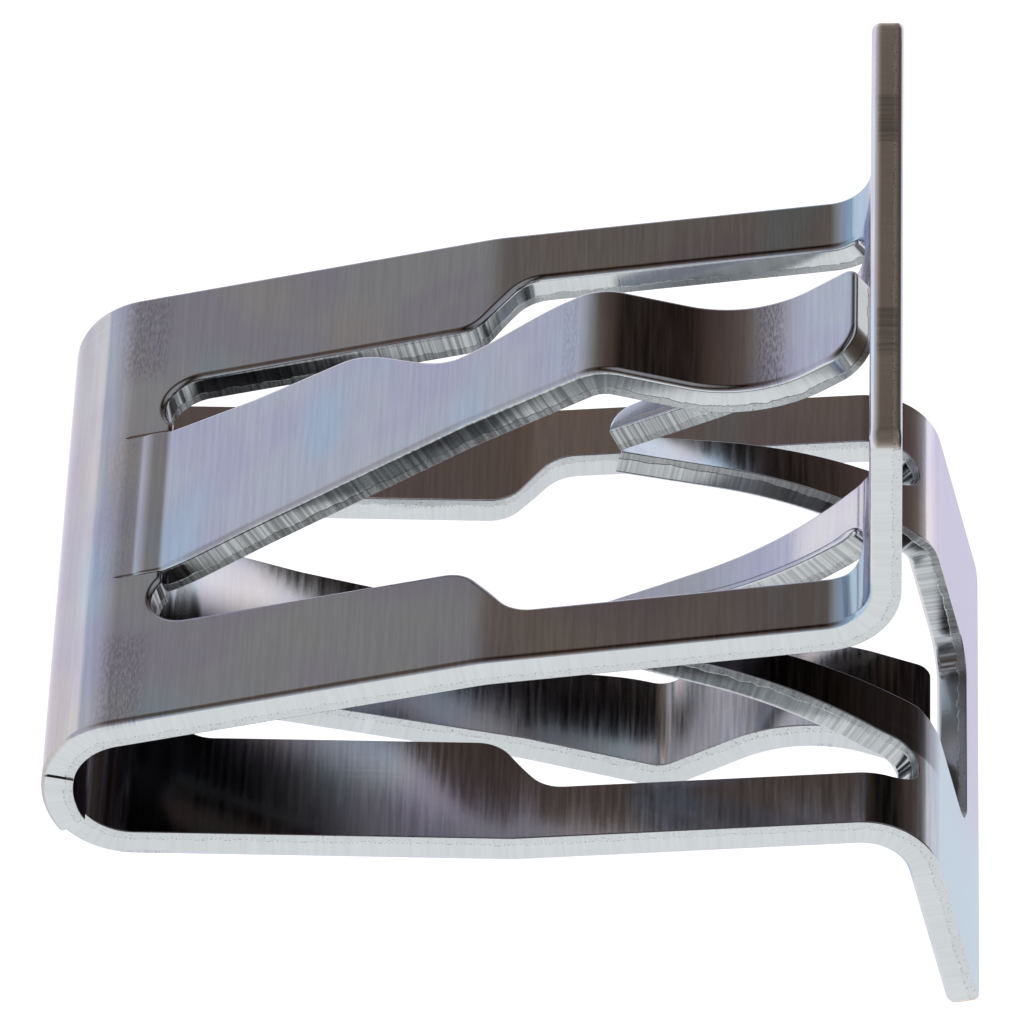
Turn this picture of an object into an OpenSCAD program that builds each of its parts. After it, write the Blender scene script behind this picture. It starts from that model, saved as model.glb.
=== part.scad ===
// Windshield garnish clip: one strip of zinc-plated spring steel folded into a U.
// The fold is the nose. Each leg is pierced by a window. A spring tongue stands out of it,
// two barbs lean into it, and its open end turns outward as a flange.
// The clip lies on its nose and on the free edge of its lower flange. Units are millimetres.

/* [Sheet] */
// thickness of the steel
thickness = 0.8; // [0.5:0.05:1]
// width of the strip
width = 15.9; // [14.5:0.1:20]

/* [Nose and legs] */
// inside radius of the fold
nose_radius = 1.45; // [1.2:0.05:2.5]
// angle from the mid-plane at which a leg leaves the nose
leg_angle = 7.1; // [5:0.1:9]
// straight part of the leg from the nose to its kink
leg_front = 9.2; // [7.5:0.1:12]
// bend of the leg at its kink, toward the mid-plane
kink_bend = 5.18; // [3:0.01:7]
// inside radius of the kink
kink_radius = 4; // [2:0.5:8]
// straight part of the leg from the kink to the flange
leg_rear = 8.3; // [7:0.1:11]

/* [Flange] */
// bend of the leg into its flange
flange_bend = 81.97; // [76:0.01:88]
// inside radius of that bend
flange_radius = 1.2; // [0.8:0.05:1.6]
// flat height of the flange above its bend
flange_height = 4.9; // [4.2:0.1:7]
// height of the bar that closes the opening in the flange
flange_bar = 1.65; // [1:0.05:2]
// radius of the flange's free corners
flange_corner = 0.45; // [0.2:0.05:0.8]
// width of the opening in the flange
opening_width = 6.65; // [6.3:0.05:7.2]
// radius in the corners of that opening
opening_corner = 0.9; // [0.4:0.05:1.2]

/* [Window] */
// width of the side rails beside the front of the window
rail_front = 3.45; // [3:0.05:4]
// width of the side rails beside the rear of the window
rail_rear = 1.8; // [1.4:0.05:2]
// distance from the start of the leg to the window's front end
window_setback = 0.85; // [0.6:0.05:1.2]
// radius of the two arcs in each step of the window's edge
step_radius = 1; // [0.6:0.05:1.3]

/* [Spring tongue] */
// width of the tongue at its root
tongue_root = 5.2; // [4.9:0.1:5.8]
// width of the tongue ahead of its step
tongue_wide = 4.7; // [4.2:0.1:5]
// width of the tongue from its step to its tip
tongue_slim = 3.2; // [2.5:0.1:3.6]
// distance from the start of the leg to the step in the tongue's width
tongue_step = 6.05; // [5:0.01:7]
// gap between the tongue's tip and the front of the flange, along the mid-plane
tongue_gap = 0.7; // [0.5:0.05:2]
// bend that lifts the root out of the leg
root_bend = 6.2; // [4:0.01:8]
// radius of that bend, at the middle of the sheet, as for each bend below
root_radius = 2; // [1.5:0.1:3]
// straight part of the root
root_length = 1.18; // [0.8:0.02:1.6]
// bend into the first rise
rise_bend = 9.94; // [8:0.01:14]
// radius of that bend
rise_radius = 1; // [0.8:0.1:2]
// bend onto the shoulder
shoulder_bend = 14.72; // [11:0.01:18]
// radius of that bend
shoulder_radius = 5; // [3:0.1:7]
// straight part of the shoulder
shoulder_length = 0.68; // [0.4:0.02:1.2]
// bend into the ramp
ramp_bend = 18.36; // [14:0.01:22]
// radius of that bend
ramp_radius = 4; // [3:0.1:6]
// straight part of the ramp
ramp_length = 2.7; // [2:0.02:3.4]
// bend over the crest
crest_bend = 53.51; // [47:0.01:59]
// radius of that bend
crest_radius = 1.9; // [1.4:0.05:3]
// straight part behind the crest
fall_length = 0.76; // [0.5:0.02:1.4]
// bend up into the tip
dip_bend = 57.93; // [50:0.01:64]
// radius of that bend
dip_radius = 3.95; // [2.5:0.05:4.5]
// straight part at the tip
tip_length = 1.4; // [0.8:0.02:2]
// radius of the tongue's tip corners
tongue_corner = 0.4; // [0.2:0.05:0.8]

/* [Barbs] */
// clear distance between the two barbs of a leg
barb_spread = 6.4; // [6:0.05:6.8]
// width of a barb at its root
barb_root = 1.55; // [1.2:0.05:1.7]
// width of a barb where its tip's arc starts, and radius of that arc
barb_slim = 0.75; // [0.6:0.05:1.1]
// share of the flange's bend at which a barb leaves it
barb_leave = 37.63; // [33:0.01:42]
// straight part of a barb next to its root
barb_straight = 0.4; // [0.2:0.1:1]
// bend along a barb
barb_bend = 21.77; // [17:0.01:25]
// radius of that bend, at the middle of the sheet
barb_curve = 12.3; // [9:0.1:15]
// gap between the barb tips of opposite legs
barb_gap = 0.2; // [0.15:0.05:0.8]
// share of the flange's bend at which the slot beside a barb starts its round end
slot_leave = 24.15; // [20:0.05:30]

/* [Carrier remnant] */
// height of the sheared stub on each edge of the nose
stub_height = 0.2; // [0.1:0.05:0.4]
// angle that the stub takes of the nose
stub_angle = 45; // [20:1:60]

/* [Hidden] */
$fn = 72;
half = width / 2;
mid = thickness / 2;
// how far a corner's arc starts outside the edges that it joins
proud = thickness / 400;
// outside radius of the nose, and the bends' radii at the middle of the sheet
nose_x = nose_radius + thickness;
nose_mid = nose_radius + mid;
kink_mid = kink_radius + mid;
bend_mid = flange_radius + mid;
leg_angle_rear = leg_angle - kink_bend;
rise = leg_angle_rear + flange_bend;
// steps of a folded strip: straight length, turn after it, radius of that turn
leg_steps = [
    [leg_front, -kink_bend, kink_mid],
    [leg_rear, flange_bend, bend_mid],
    [flange_height, 0, 0]
];
// places along the upper leg, on the middle of the sheet: x, z
leg_start = [nose_x - nose_mid * sin(leg_angle), nose_mid * cos(leg_angle)];
kink_at = leg_start + leg_front * heading(leg_angle);
bend_at = kink_at + arc_move(leg_angle, -kink_bend, kink_mid) + leg_rear * heading(leg_angle_rear);
bend_centre = bend_at + bend_mid * heading(leg_angle_rear + 90);
bend_end = bend_at + arc_move(leg_angle_rear, flange_bend, bend_mid);
flange_end = bend_end + flange_height * heading(rise);
// both faces of the sheet at the flange's free end
flange_back = flange_end + mid * heading(rise + 90);
flange_front = flange_end - mid * heading(rise + 90);

// edge of the window in plan, on one side of the middle: its step slopes 4 in 3
front_half = half - rail_front;
rear_half = half - rail_rear;
step_s = 0.8 * step_radius;
step_c = 0.4 * step_radius;
step_run = 2 * step_s + 0.75 * (rear_half - front_half - 2 * step_c);
step_x = hundredth(kink_at[0] - step_s);
window_x = leg_start[0] + window_setback;
slot_radius = (front_half - tongue_root / 2) / 2;
slot_x = window_x + slot_radius;

// tongue: its rise takes up what its other parts leave of the way to the flange
rise_angle = leg_angle + root_bend + rise_bend;
tip_angle = rise_angle - shoulder_bend + ramp_bend - crest_bend + dip_bend;
tongue_end_x = bend_end[0] + mid - tongue_gap;
rise_length = (tongue_end_x - strip_end(tongue_steps(0), leg_start, leg_angle)[0]) / cos(rise_angle);
tongue_tip = strip_end(tongue_steps(rise_length), leg_start, leg_angle);
// its step is an S of two arcs, each of which turns 4 in 3
tongue_arc = (tongue_wide - tongue_slim) / 0.8;
tongue_step_x = hundredth(leg_start[0] + tongue_step);
tongue_step_end = tongue_step_x + 1.2 * tongue_arc;

// barb: follows the flange's bend, leaves it, and runs back as far as the mid-plane
barb_inner = barb_spread / 2;
barb_outer = barb_inner + barb_root;
barb_angle = leg_angle_rear + barb_leave;
barb_tip_angle = barb_angle - barb_bend;
barb_at = bend_centre + bend_mid * heading(barb_angle - 90);
barb_bow = barb_at - barb_straight * heading(barb_angle)
    + arc_move(barb_angle + 180, -barb_bend, barb_curve);
barb_reach = (barb_bow[1] - mid * cos(barb_tip_angle) - barb_gap / 2) / sin(barb_tip_angle);
barb_steps = [
    [barb_straight, barb_bend, barb_curve],
    [barb_reach + thickness, 0, 0]
];
barb_tip_x = barb_bow[0] - barb_reach * cos(barb_tip_angle) + mid * sin(barb_tip_angle);
// slot beside a barb
slot_width = rear_half - barb_outer;
slot_y = rear_half - slot_width / 2;
slot_angle = leg_angle_rear + slot_leave;
slot_at = bend_centre + bend_mid * heading(slot_angle - 90);

// tilt of the clip when it lies on its nose and on its lower flange
reach = [flange_back[0] - nose_x, flange_back[1]];
tilt = atan2(reach[1], reach[0]) - asin(nose_x / norm(reach));
low_x = nose_x * cos(tilt) - nose_x;
high_x = flange_front[0] * cos(tilt) + flange_front[1] * sin(tilt);
floor_z = nose_x * sin(tilt) - nose_x;

// place rounded to a hundredth of a millimetre
function hundredth(x) = round(100 * x) / 100;

// unit vector in the side view
function heading(a) = [cos(a), sin(a)];

// way travelled along an arc that starts at angle a and turns by the given angle
function arc_move(a, turn, r) =
    (turn < 0 ? -r : r) * [sin(a + turn) - sin(a), cos(a) - cos(a + turn)];

// end of a strip, walked step by step
function strip_end(steps, p, a, i = 0) =
    i == len(steps) ? p : strip_end(
        steps,
        p + steps[i][0] * heading(a) + arc_move(a, steps[i][1], steps[i][2]),
        a + steps[i][1],
        i + 1
    );

// steps of the tongue, for a given straight part of its rise
function tongue_steps(rise_part) = [
    [0, root_bend, root_radius],
    [root_length, rise_bend, rise_radius],
    [rise_part, -shoulder_bend, shoulder_radius],
    [shoulder_length, ramp_bend, ramp_radius],
    [ramp_length, -crest_bend, crest_radius],
    [fall_length, dip_bend, dip_radius],
    [tip_length, 0, 0]
];

// half of the side view, behind a line across the strip
module behind() {
    translate([-2 * width, -2 * width])
        square([2 * width, 4 * width]);
}

// half of the side view, ahead of a line across the strip
module ahead() {
    translate([0, -2 * width])
        square([2 * width, 4 * width]);
}

// ring about the origin, cut where the strip enters it and where it leaves it
module bend(r_in, r_out, turn) {
    intersection() {
        difference() {
            circle(r_out);
            circle(r_in);
        }
        ahead();
        rotate(turn)
            behind();
    }
}

// side view of a folded strip: it starts along x, with its middle at height y
module strip(steps, y, i = 0) {
    if (i < len(steps)) {
        run = steps[i][0];
        turn = steps[i][1];
        r = steps[i][2];
        side = turn < 0 ? -1 : 1;
        if (run > 0)
            translate([0, y - mid])
                square([run, thickness]);
        if (turn != 0)
            translate([run, y + side * r]) {
                bend(r - mid, r + mid, turn);
                rotate(turn)
                    strip(steps, -side * r, i + 1);
            }
    }
}

// carries a side view across the strip, between two places on its width
module across(from, to) {
    translate([0, to, 0])
        rotate([90, 0, 0])
            linear_extrude(to - from)
                children();
}

// places a flat outline square to the sheet: x runs back along the strip, y across it
module square_to(place, angle, y = 0) {
    translate([place[0], y, place[1]])
        rotate([0, 180 - angle, 0])
            linear_extrude(3 * thickness, center = true)
                children();
}

// repeats its children on the other side of the strip
module both_sides() {
    children();
    mirror([0, 1, 0])
        children();
}

// repeats its children on the other leg
module both_legs() {
    children();
    mirror([0, 0, 1])
        children();
}

// start of the upper leg: about the nose's centre, turned along the leg
module at_leg() {
    translate([nose_x, 0])
        rotate(leg_angle)
            children();
}

// start of the upper flange's bend: about the bend's centre, turned along the rear of the leg
module at_bend() {
    at_leg()
        translate([leg_front, nose_mid - kink_mid])
            rotate(-kink_bend)
                translate([leg_rear, kink_mid + bend_mid])
                    children();
}

// side view of the nose
module nose_side() {
    translate([nose_x, 0])
        intersection() {
            difference() {
                circle(nose_x);
                circle(nose_radius);
            }
            rotate(leg_angle)
                behind();
            mirror([0, 1])
                rotate(leg_angle)
                    behind();
        }
}

// side view of the upper leg with its flange
module leg_side() {
    at_leg()
        strip(leg_steps, nose_mid);
}

// plan of half the window, with the step in its edge
module window_plan() {
    x1 = step_x;
    x2 = step_x + step_run;
    end_x = bend_at[0] + mid / 4;
    difference() {
        union() {
            translate([slot_x, -mid])
                square([end_x - slot_x, front_half + mid]);
            polygon([
                [x1, -mid],
                [x1, front_half],
                [x1 + step_s, front_half + step_c],
                [x2 - step_s, rear_half - step_c],
                [x2, rear_half],
                [end_x, rear_half],
                [end_x, -mid]
            ]);
            translate([x2, rear_half - step_radius])
                circle(step_radius);
            translate([slot_x, front_half - slot_radius])
                circle(slot_radius);
        }
        translate([x1, front_half + step_radius])
            circle(step_radius);
    }
}

// opening in the flange: x runs back along the strip, y across it
module opening_plan() {
    top = flange_height - flange_bar;
    round_y = opening_width / 2 - opening_corner;
    translate([opening_corner - top, -opening_width / 2])
        square([top - opening_corner + mid, opening_width]);
    translate([-top, -round_y])
        square([top, 2 * round_y]);
    for (side = [-1, 1])
        translate([opening_corner - top, side * round_y])
            circle(opening_corner);
}

// round end of the slot beside a barb
module slot_end() {
    circle(d = slot_width);
    translate([0, -slot_width / 2])
        square([slot_width / 4, slot_width]);
}

// what is left over outside a rounded corner of the given radius
module corner_waste(r) {
    difference() {
        translate([-mid, -r])
            square(r + mid);
        translate([r - proud, proud - r])
            circle(r);
    }
}

// what is punched out of one leg, above the mid-plane
module leg_punch() {
    // window in the leg
    linear_extrude(bend_at[1] + thickness) {
        window_plan();
        mirror([0, 1])
            window_plan();
    }
    // place of the tongue's root
    across(-tongue_root / 2, tongue_root / 2)
        at_leg()
            translate([0, nose_radius - thickness])
                square([window_setback + 2 * slot_radius, 3 * thickness]);
    // way between the barbs, round the bend
    across(-barb_inner, barb_inner)
        at_bend()
            bend(flange_radius / 2, flange_radius + 2 * thickness, flange_bend);
    // opening in the flange
    square_to(bend_end, rise)
        opening_plan();
    // barbs and the slots beside them, as far as each of them follows the bend
    both_sides() {
        across(barb_inner, slot_y)
            at_bend()
                bend(flange_radius / 2, flange_radius + 2 * thickness, barb_leave);
        across(slot_y - mid, rear_half)
            at_bend()
                bend(flange_radius / 2, flange_radius + 2 * thickness, slot_leave);
        square_to(slot_at, slot_angle, slot_y)
            slot_end();
    }
    // free corners of the flange
    both_sides()
        square_to(flange_end, rise, half)
            corner_waste(flange_corner);
}

// plan of half the tongue
module tongue_plan() {
    x1 = tongue_step_x;
    x2 = tongue_step_end;
    wide = tongue_wide / 2;
    slim = tongue_slim / 2;
    difference() {
        union() {
            polygon([
                [0, -mid],
                [0, tongue_root / 2],
                [slot_x, tongue_root / 2],
                [slot_x + 2 * slot_radius, wide],
                [x1, wide],
                [x1 + 0.6 * tongue_arc, wide - 0.2 * tongue_arc],
                [x2, slim],
                [flange_end[0], slim],
                [flange_end[0], -mid]
            ]);
            intersection() {
                translate([x1, wide - tongue_arc])
                    circle(tongue_arc);
                translate([x1, 0])
                    square([0.6 * tongue_arc, wide]);
            }
        }
        translate([x2, slim + tongue_arc])
            circle(tongue_arc);
    }
}

// upper tongue
module tongue() {
    difference() {
        intersection() {
            across(-half, half)
                at_leg()
                    strip(tongue_steps(rise_length), nose_mid);
            linear_extrude(2 * width) {
                tongue_plan();
                mirror([0, 1])
                    tongue_plan();
            }
        }
        both_sides()
            square_to(tongue_tip, tip_angle, tongue_slim / 2)
                corner_waste(tongue_corner);
    }
}

// plan of one barb: its outer edge narrows to an arc about the inner one
module barb_plan() {
    round_x = barb_tip_x + barb_slim;
    side_y = barb_inner + barb_slim;
    end_x = flange_end[0];
    taper = (barb_outer - side_y) / (barb_at[0] - thickness - round_x);
    translate([round_x, barb_inner])
        circle(barb_slim);
    polygon([
        [round_x, barb_inner - mid],
        [round_x, side_y],
        [end_x, side_y + taper * (end_x - round_x)],
        [end_x, barb_inner - mid]
    ]);
}

// one barb of the upper leg
module barb() {
    intersection() {
        across(barb_inner, barb_outer)
            at_bend()
                rotate(barb_leave)
                    mirror([1, 0])
                        strip(barb_steps, -bend_mid);
        linear_extrude(2 * width)
            barb_plan();
    }
}

// clip: folded strip with its tongues, its barbs and the stubs left by the carrier strip
module clip() {
    color([0.68, 0.69, 0.74])
        translate([-(low_x + high_x) / 2, 0, -floor_z])
            rotate([0, -tilt, 0]) {
                difference() {
                    across(-half, half) {
                        nose_side();
                        leg_side();
                        mirror([0, 1])
                            leg_side();
                    }
                    both_legs()
                        leg_punch();
                }
                both_legs() {
                    tongue();
                    both_sides()
                        barb();
                }
                both_sides()
                    across(half, half + stub_height)
                        translate([nose_x, 0])
                            rotate(270)
                                bend(nose_radius, nose_x, stub_angle);
            }
}

clip();
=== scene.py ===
"""Windshield garnish clip of zinc-plated spring steel, lying on a pale floor."""

import math
from types import SimpleNamespace

import bpy
import numpy as np
from bpy.props import FloatProperty, FloatVectorProperty, PointerProperty
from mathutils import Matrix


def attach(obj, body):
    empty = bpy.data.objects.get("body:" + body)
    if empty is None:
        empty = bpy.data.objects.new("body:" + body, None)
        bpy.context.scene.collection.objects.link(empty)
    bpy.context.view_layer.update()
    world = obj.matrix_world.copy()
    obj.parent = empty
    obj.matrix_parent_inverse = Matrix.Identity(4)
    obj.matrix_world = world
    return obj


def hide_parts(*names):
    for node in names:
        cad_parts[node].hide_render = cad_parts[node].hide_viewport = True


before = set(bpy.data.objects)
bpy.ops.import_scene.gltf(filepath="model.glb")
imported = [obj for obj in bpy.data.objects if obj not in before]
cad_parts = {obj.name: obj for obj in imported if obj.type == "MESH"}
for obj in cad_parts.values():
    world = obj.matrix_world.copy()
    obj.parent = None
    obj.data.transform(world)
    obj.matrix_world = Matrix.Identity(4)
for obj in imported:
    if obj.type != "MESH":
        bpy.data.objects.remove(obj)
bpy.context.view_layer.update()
MM = 0.001

bl_info = {
    "name": "Windshield garnish clip",
    "version": (1, 0, 0),
    "blender": (4, 5, 0),
    "location": "3D View > Sidebar > Clip",
    "description": "Builds a folded spring-steel trim clip and the stage that it lies on",
    "category": "Object",
}

QUARTER = math.pi / 2
# leaves of the strip, which fold along lines of their own
LEG, TONGUE, BARB = 0, 1, 2
# rows of the grids in the flat pattern, as shares of the way between two edges
ROWS_TONGUE = np.linspace(0, 1, 7)
ROWS_LAND = np.linspace(0, 1, 3)
ROWS_RAIL = np.linspace(0, 1, 5)
ROWS_BARB = np.array([0, 0.35, 0.7, 1])
# numbers of columns on their parts, from the nose to the flange, then on tongue and barb
N_STUB_UPPER = 7
N_STUB_LOWER = 5
N_NOSE = 14
N_SLIT = 7
N_SLOT_INNER = 7
N_SLOT_OUTER = 15
N_RAIL = 12
N_STEP_ARC = 9
N_STEP_SLOPE = 4
N_BEND_START = 7
N_ROUND_OUTER = 13
N_ROUND_INNER = 9
N_NECK = 6
N_BEND_END = 5
N_FLANGE = 6
N_OPENING_ARC = 11
N_BAR = 5
N_CORNER_ARC = 8
N_TONGUE_ROOT = 18
N_TONGUE_BODY = 150
N_TONGUE_TIP = 18
N_BARB_ROOT = 5
N_BARB_BODY = 36
N_BARB_TIP = 7
# share of the inset that the nearly closed slits beside a tongue's root get
SLIT_SHARE = 0.3
# part of the slot's round end that lies beside the tongue
SLOT_TURN = math.radians(40)
# slope of the window's step, 4 in 3
STEP_SINE = 0.8
STEP_COSINE = 0.6
# points of the rim's profile on the outer round, the straight cut and the inner round
ROLL_POINTS = 7
CUT_POINTS = 3
BURR_POINTS = 4
# inset at which equal points of neighbouring grids are found, where no two others meet
WELD_INSET = 0.08 * MM
WELD_STEP = 1e-4 * MM
# turn of a cut edge past which its corner stays sharp in the shading
SHARP = math.cos(math.radians(28))
# least length that a sum of directions is divided by
TINY = 1e-9
# span of the flat pattern that one unit of its UV map stands for
UV_SPAN = 10 * MM
# heights of the plate's grain, of the streaks and pits on cut walls, and of the rub marks and the
# painted-shade marks
GRAIN_HEIGHT = 0.0009 * MM
STREAK_HEIGHT = 0.0005 * MM
PIT_HEIGHT = 0.006 * MM
RUB_HEIGHT = 0.0015 * MM
# noises of the plate: on the flat strip or in space, features per millimetre, and detail
NOISES = {
    "grain": ("flat", (9.0, 0.35, 1.0), 4.0),
    "fine": ("flat", (30.0, 2.2, 1.0), 2.0),
    "scratch": ("flat", (0.3, 18.0, 1.0), 1.0),
    "upright": ("flat", (10.0, 10.0, 1.0), 4.0),
    "wobble": ("flat", (2.3, 2.3, 1.0), 4.0),
    "patch": ("flat", (16.0, 5.0, 1.0), 5.0),
    "cloud": ("spot", (0.28, 0.28, 0.28), 2.0),
    "drift": ("spot", (0.34, 0.16, 0.2), 1.0),
    "speck": ("spot", (20.0, 20.0, 20.0), 3.0),
}
NOISE_ROUGHNESS = 0.55
# range that most of a noise lies in
NOISE_RANGE = (0.3, 0.7)
# rub marks on the rails and the tongue's root, and painted shade on the tongue's crest and dip, in
# millimetres on the flat strip:
# ends along it, softness of the ends, where it fades in across the strip, and strength
RUB_AND_SHADE_MARKS = [
    ((2.4, 3.5), 0.25, (4.4, 5.2), 1.0),
    ((2.0, 3.0), 0.2, (2.9, 2.6), 0.3),
    ((15.4, 15.8), 0.1, (2.2, 1.8), 0.6),
    ((20.2, 21.0), 0.25, (2.2, 1.8), 1.5),
]
MARK_PATCHES = (0.34, 0.66)
# ranges over which a surface's place in the sheet passes from one part of it to the next:
# share of the thickness from the outer face, and sine of the lean from the face's normal
OUTER_DEPTH = (0.3, 0.1)
INNER_DEPTH = (0.97, 0.999)
INNER_LEAN = (0.6, 0.1)
WALL_LEAN = (0.8, 0.98)
# tear of a cut wall, in shares of the thickness: how far it wanders and how far it is set back
# for that, its start and its pitted line, and then the noise ranges that are pits
TEAR_WANDER = 0.3
TEAR_SETBACK = 0.07
TEAR = (0.78, 0.82)
TEAR_LINE = (0.77, 0.80, 0.025)
LINE_PITS = (0.50, 0.60)
TORN_PITS = (0.60, 0.68)
# parts of the flat strip, in millimetres: along it from the nose's apex
NOSE_PART = (1.2, 2.7)
# where the painted shade between the legs lightens along the strip
INNER_SHADE_PART = (4.5, 11.0)
UPPER_LEG = (-0.5, 0.5)
BARB_START = (12.5, 13.0)
TONGUE_END = (15.5, 13.5)
WINDOW_END = (17.5, 15.5)
# where the painted shade lies on the bends
BEND_SHADE_PART = (20.9, 23.0, 0.3)
FLANGE_START = (21.9, 23.2)
LEG_END = (23.0, 22.0)
FLANGE_END = (27.4, 27.6)
# and across it from its middle line
NEAR_SIDE = (1.5, -0.5)
TONGUE_SIDE = (2.9, 2.6)
BARB_SIDES = (3.1, 4.9, 0.05)
# where the painted shade on the bends starts, near the strip's edges
BEND_SHADE_SIDE = (5.0, 5.5)
WINDOW_SIDE = (5.4, 5.0)
# noise ranges of the tints, and the blue to lilac change across a flange, moved by the clouds
LILAC_RANGE = (0.36, 0.62)
STRAW_RANGE = (0.54, 0.72)
BLUE_RANGE = (0.46, 0.3)
SCRATCH_RANGE = (0.70, 0.78)
FLANGE_CHANGE = (-2.5, 5.0)
FLANGE_CLOUDS = 6.0
FLANGE_PALE = 0.6
# brightness of faces, of the nose, of clean and smeared walls, and the painted shade and painted light on
# the inner faces between the legs
FACE_LEVEL = (0.93, 1.04)
NOSE_LEVEL = (0.70, 1.0)
WALL_LEVEL = (0.96, 1.02)
SMEAR_RANGE = (0.36, 0.64)
SMEAR_LEVEL = (0.34, 0.78)
BARB_SMEAR = 0.6
INNER_SHADE_LEVEL = (0.32, 0.74)
INNER_SHADE_GRAIN = (0.85, 1.12)
BARB_SHADE = -0.5
TONGUE_SHADE = -0.28
FAR_PAINTED_LIGHT = 1.3
# strengths of the colours laid over the plate, and of the fine noise in its grain
SCRATCH_SHARE = 0.25
RUB_AND_SHADE_SHARE = 0.5
PIT_SHARE = 0.75
FINE_SHARE = 0.5
# roughness of the plate, and what marks, tears and end walls add to it
ROUGHNESS = (0.11, 0.17)
MARK_ROUGHNESS = 0.15
TEAR_ROUGHNESS = 0.15
END_ROUGHNESS = 0.3
# stage
FLOOR_REACH = 1.5
FLOOR_GLOW = 0.9
FLOOR_COLOUR = (0.9, 0.9, 0.9, 1)
FLOOR_ROUGHNESS = 0.9
WHITE = (1.0, 1.0, 1.0)
LAMP_POWER = 0.55
LAMP_SIZE = 0.4
LAMP_PLACE = (0.0, -0.1, 0.6)
# room's colour: a ramp over the height of a direction plus a share of its way to the right,
# scaled and started to fit the stops
ROOM_LEAN = 0.35
ROOM_SCALE = 0.8
ROOM_START = 0.2
ROOM = [
    (0.05, (0.66, 0.74, 0.85)),
    (0.15, (0.62, 0.65, 0.77)),
    (0.32, (0.49, 0.49, 0.53)),
    (0.456, (0.29, 0.285, 0.28)),
    (0.544, (0.155, 0.13, 0.108)),
    (0.637, (0.110, 0.082, 0.070)),
    (0.702, (0.088, 0.062, 0.050)),
    (0.736, (0.070, 0.048, 0.038)),
    (0.748, (0.002, 0.001, 0.0005)),
    (0.80, (0.002, 0.001, 0.0005)),
    (0.88, (0.12, 0.11, 0.10)),
    (1.0, (0.34, 0.34, 0.35)),
]
# camera, as the edges of the sheet in the photograph place it
LENS = 395.157
SENSOR = 36
EYE_NEAR = 10 * MM
EYE_PLACE = (-0.039182, -0.207605, 0.190523)
EYE_TURN = (47.5252, -13.3103, 1.6486)


def length(name, mm, words):
    """Property for a length, given in millimetres."""
    return FloatProperty(name=name, description=words, default=mm * MM, unit="LENGTH", precision=5)


def angle(name, degrees, words):
    """Property for an angle, given in degrees."""
    return FloatProperty(name=name, description=words, default=math.radians(degrees), subtype="ANGLE")


def colour(name, rgb, words):
    """Property for a linear colour."""
    settings = {"size": 3, "min": 0, "max": 1, "subtype": "COLOR"}
    return FloatVectorProperty(name=name, description=words, default=rgb, **settings)


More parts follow.
